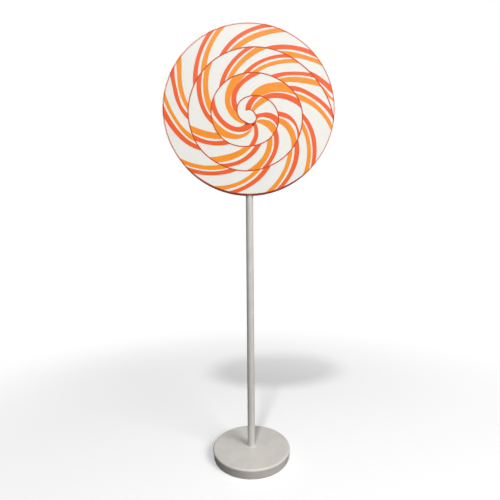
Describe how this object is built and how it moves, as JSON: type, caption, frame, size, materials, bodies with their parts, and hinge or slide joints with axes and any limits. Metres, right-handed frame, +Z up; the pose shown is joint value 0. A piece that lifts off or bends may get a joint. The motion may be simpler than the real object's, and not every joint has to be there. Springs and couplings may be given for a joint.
{
  "type": "large swirl lollipop display stand",
  "caption": "Large swirl lollipop for display: a flat round disc with a twisted candy swirl on a straight pole, standing on a weighted round base.",
  "frame": {"origin": "middle of the base's underside, on the floor", "axes": "+Z up along the pole, the disc's front face towards -Y, +X to the right when the front is seen"},
  "size_m": [0.8, 0.359, 2.02],
  "materials": {
    "stand_paint": "satin warm light grey powder coat",
    "board": "cream white printed board, satin",
    "candy_red": "red-orange film, satin",
    "candy_amber": "amber film, satin",
    "candy_line": "dark red film and edge paint, satin"
  },
  "bodies": {
    "root": {"base": "stand_paint", "pole": "stand_paint", "disc": "board"}
  },
  "joints": []
}
